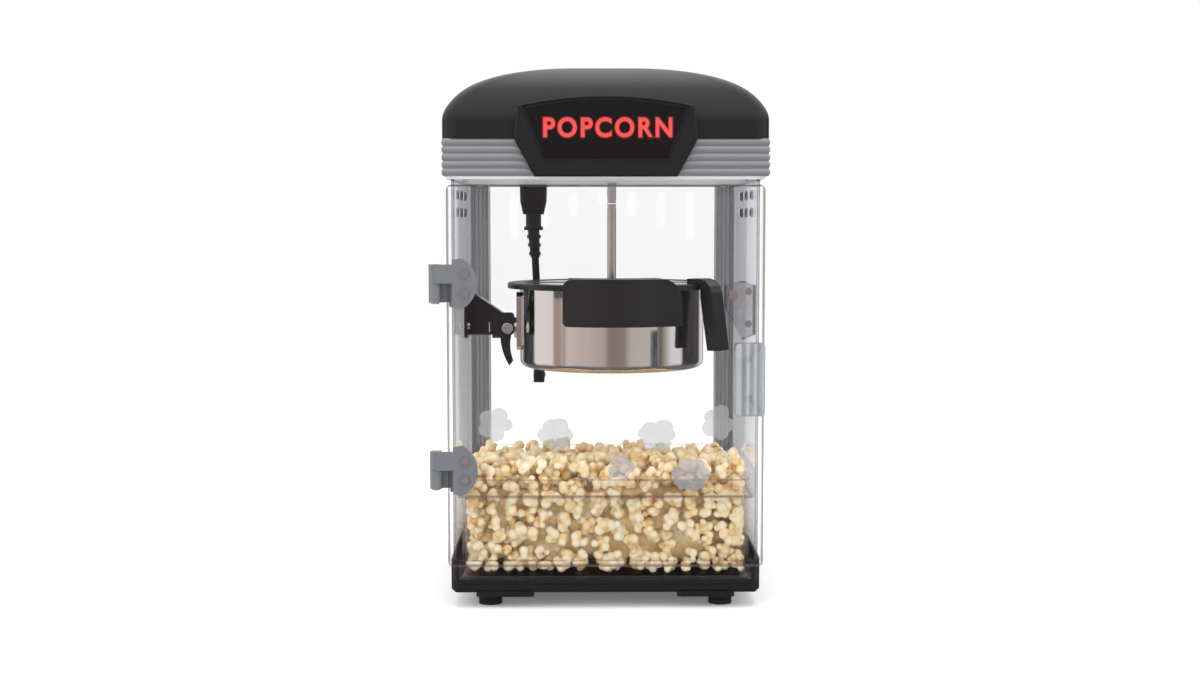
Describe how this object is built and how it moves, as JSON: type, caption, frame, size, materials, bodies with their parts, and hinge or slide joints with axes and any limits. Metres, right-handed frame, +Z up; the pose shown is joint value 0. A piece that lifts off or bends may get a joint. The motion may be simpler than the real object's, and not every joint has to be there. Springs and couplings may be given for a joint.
{
  "type": "popcorn maker",
  "caption": "Tabletop theatre-style popcorn maker: clear cabinet with a hinged door, domed canopy with a lit sign, tilting kettle with a motor stirrer, and a serving tray.",
  "frame": {"origin": "centre of the cabinet's footprint on the counter, at the undersides of the feet", "axes": "+X to the right seen from the front, +Y to the back, +Z up"},
  "size_m": [0.2817, 0.271, 0.4596],
  "materials": {
    "black_plastic": "satin moulded black",
    "black_matte": "fine matt black",
    "silver_plastic": "satin silver paint",
    "clear_plastic": "clear polycarbonate",
    "smoked_lens": "glossy dark window",
    "steel": "polished stainless steel",
    "hinge_metal": "satin grey hinge metal",
    "chrome": "bright plated",
    "black_steel": "black coated steel",
    "rubber": "matt rubber",
    "pale_ceiling": "pale painted steel",
    "circuit": "circuit board",
    "grip_plastic": "clear grey ribbed plastic",
    "brass": "plain brass"
  },
  "bodies": {
    "machine": {"base_tub": "black_plastic", "feet": "rubber", "foot_screws": "chrome", "side_panel_left": "clear_plastic", "side_panel_right": "clear_plastic", "rear_panel": "clear_plastic", "rear_post_left": "silver_plastic", "rear_post_right": "silver_plastic", "tray": "clear_plastic", "canopy_cap": "black_plastic", "canopy_band": "silver_plastic", "sign_bezel": "black_plastic", "sign_lens": "smoked_lens", "led_board": "circuit", "ceiling_plate": "pale_ceiling", "ceiling_screws": "chrome", "gearbox": "steel", "gearbox_screws": "chrome", "stir_motor": "steel", "kettle_socket": "black_matte", "kettle_plug": "black_matte", "plug_relief": "rubber", "kettle_cord": "rubber", "switch_housings": "black_matte", "supply_gland": "black_matte", "kettle_bracket": "black_steel", "bracket_screws": "chrome", "lever_pin": "chrome", "door_catch": "clear_plastic", "catch_magnet": "black_matte", "catch_screws": "chrome", "body_leaves": "hinge_metal", "body_leaf_screws": "chrome", "hinge_pins": "chrome"},
    "door": {"door_leaves": "hinge_metal", "door_leaf_screws": "chrome", "door_panel": "clear_plastic", "door_handle": "grip_plastic", "door_handle_screws": "chrome", "strike_plate": "chrome"},
    "kettle": {"kettle_pan": "steel", "kettle_base_plate": "steel", "heater_ring": "black_steel", "thermostat": "brass", "mount_pad": "black_steel", "trunnion": "chrome", "lid_ring": "black_matte", "lid_hinge_rods": "chrome", "kettle_handle": "black_matte", "kettle_gland": "rubber"},
    "front_lid": {"front_lid_flap": "steel", "front_lid_grip": "black_matte"},
    "rear_lid": {"rear_lid_flap": "steel"},
    "stirrer": {"stir_rod": "chrome", "stir_blade": "steel"},
    "drive": {"drive_shaft": "chrome"},
    "lever": {"release_lever": "chrome"},
    "heat_switch": {"rocker_heat": "black_matte"},
    "light_switch": {"rocker_light": "black_matte"}
  },
  "joints": [
    {"name": "door_hinge", "type": "hinge", "parent": "machine", "child": "door", "pos_m": [-0.1415, -0.124, 0.2], "axis": [0, 0, -1], "range_deg": [0, 125]},
    {"name": "kettle_tilt", "type": "hinge", "parent": "machine", "child": "kettle", "pos_m": [0, 0, 0.2298], "axis": [1, 0, 0], "range_deg": [0, 95], "deforming": ["kettle_cord"]},
    {"name": "front_lid_hinge", "type": "hinge", "parent": "kettle", "child": "front_lid", "pos_m": [0.007, -0.0132, 0.2686], "axis": [-1, 0, 0], "range_deg": [0, 55]},
    {"name": "rear_lid_hinge", "type": "hinge", "parent": "kettle", "child": "rear_lid", "pos_m": [0.007, 0.0132, 0.2686], "axis": [1, 0, 0], "range_deg": [0, 70]},
    {"name": "shaft_spin", "type": "hinge", "parent": "machine", "child": "drive", "pos_m": [0.007, 0, 0.36], "axis": [0, 0, 1], "continuous": true},
    {"name": "stirrer_spin", "type": "hinge", "parent": "kettle", "child": "stirrer", "pos_m": [0.007, 0, 0.3], "axis": [0, 0, 1], "continuous": true},
    {"name": "lever_release", "type": "hinge", "parent": "machine", "child": "lever", "pos_m": [-0.0865, 0, 0.2298], "axis": [0, 1, 0], "range_deg": [0, 20], "stiffness_Nm_per_rad": 0.02},
    {"name": "heat_switch_rock", "type": "hinge", "parent": "machine", "child": "heat_switch", "pos_m": [-0.046, 0.1265, 0.404], "axis": [1, 0, 0], "range_deg": [-7, 7]},
    {"name": "light_switch_rock", "type": "hinge", "parent": "machine", "child": "light_switch", "pos_m": [-0.018, 0.1265, 0.404], "axis": [1, 0, 0], "range_deg": [-7, 7]}
  ],
  "couplings": [
    {"joint": "shaft_spin", "follows": "stirrer_spin", "ratio": 1}
  ]
}
